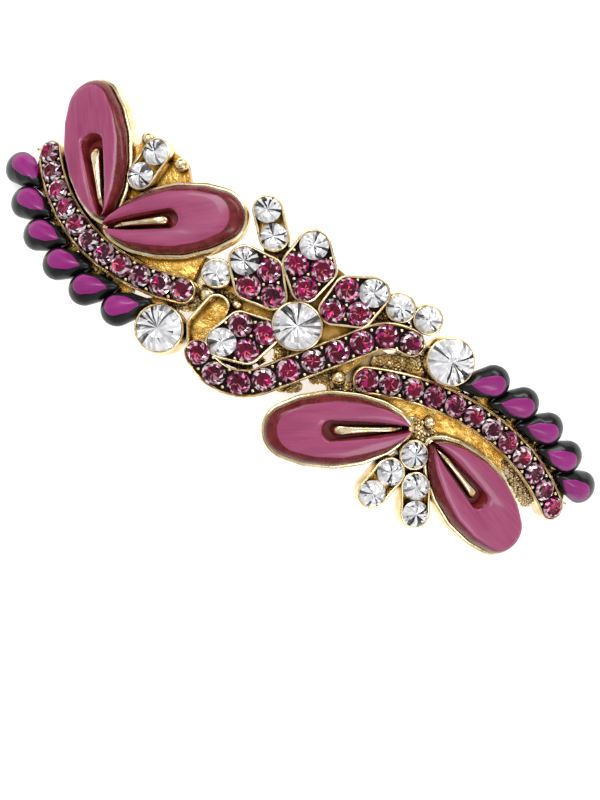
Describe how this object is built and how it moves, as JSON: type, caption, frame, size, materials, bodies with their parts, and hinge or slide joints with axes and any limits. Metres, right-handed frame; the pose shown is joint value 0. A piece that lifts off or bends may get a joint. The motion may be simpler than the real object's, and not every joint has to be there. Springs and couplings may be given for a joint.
{
  "type": "hair clip",
  "caption": "Arched rhinestone hair barrette: openwork gold ornament of butterflies, flower, ribbon and dark drops on a hinged spring clip with a latching arm.",
  "frame": {"origin": "middle of the bounding box, at its underside", "axes": "+X along the clip, +Y across it, +Z outward from the head through the ornament's face"},
  "size_m": [0.0832, 0.0308, 0.0194],
  "materials": {
    "gold_plate": "polished",
    "ruby_glass": "faceted",
    "clear_glass": "faceted",
    "pink_resin": "satin",
    "black_enamel": "gloss",
    "plated_steel": "satin",
    "rivet_brass": "satin"
  },
  "bodies": {
    "clip": {"base_bar": "plated_steel", "big_stone_centre": "clear_glass", "big_stone_left": "clear_glass", "big_stone_right": "clear_glass", "casting_centre_flower": "gold_plate", "casting_left_butterfly": "gold_plate", "casting_right_butterfly": "gold_plate", "catch_saddle": "plated_steel", "clear_stone_01": "clear_glass", "clear_stone_02": "clear_glass", "clear_stone_03": "clear_glass", "clear_stone_04": "clear_glass", "clear_stone_05": "clear_glass", "clear_stone_06": "clear_glass", "clear_stone_07": "clear_glass", "clear_stone_08": "clear_glass", "clear_stone_09": "clear_glass", "clear_stone_10": "clear_glass", "clear_stone_11": "clear_glass", "clear_stone_12": "clear_glass", "drop_left_1": "black_enamel", "drop_left_2": "black_enamel", "drop_left_3": "black_enamel", "drop_left_4": "black_enamel", "drop_left_5": "black_enamel", "drop_left_6": "black_enamel", "drop_right_1": "black_enamel", "drop_right_2": "black_enamel", "drop_right_3": "black_enamel", "drop_right_4": "black_enamel", "drop_right_5": "black_enamel", "hinge_pin": "plated_steel", "left_row_rubies": "ruby_glass", "petal_1_clear": "clear_glass", "petal_1_rubies": "ruby_glass", "petal_2_clear": "clear_glass", "petal_2_rubies": "ruby_glass", "petal_3_clear": "clear_glass", "petal_3_rubies": "ruby_glass", "petal_4_clear": "clear_glass", "petal_4_rubies": "ruby_glass", "ribbon_rubies": "ruby_glass", "right_row_rubies": "ruby_glass", "rivet_1": "rivet_brass", "rivet_2": "rivet_brass", "wing_1": "pink_resin", "wing_2": "pink_resin", "wing_3": "pink_resin", "wing_4": "pink_resin"},
    "arm": {"locking_arm": "plated_steel"},
    "leaf": {"tension_spring": "plated_steel"},
    "prong_front": {"catch_prong_front": "plated_steel"},
    "prong_back": {"catch_prong_back": "plated_steel"}
  },
  "joints": [
    {"name": "arm_hinge", "type": "hinge", "parent": "clip", "child": "arm", "pos_m": [-0.02605, -0.0006, 0.0016], "axis": [0, 1, 0], "range_deg": [0, 75]},
    {"name": "leaf_flex", "type": "hinge", "parent": "clip", "child": "leaf", "pos_m": [-0.02605, -0.0006, 0.0016], "axis": [0, -1, 0], "range_deg": [0, 4], "stiffness_Nm_per_rad": 0.03},
    {"name": "catch_squeeze_front", "type": "hinge", "parent": "clip", "child": "prong_front", "pos_m": [0.02665, -0.00185, 0.0065], "axis": [1, 0, 0], "range_deg": [0, 7], "stiffness_Nm_per_rad": 0.02},
    {"name": "catch_squeeze_back", "type": "hinge", "parent": "clip", "child": "prong_back", "pos_m": [0.02665, 0.00065, 0.0065], "axis": [1, 0, 0], "range_deg": [-7, 0], "stiffness_Nm_per_rad": 0.02}
  ]
}
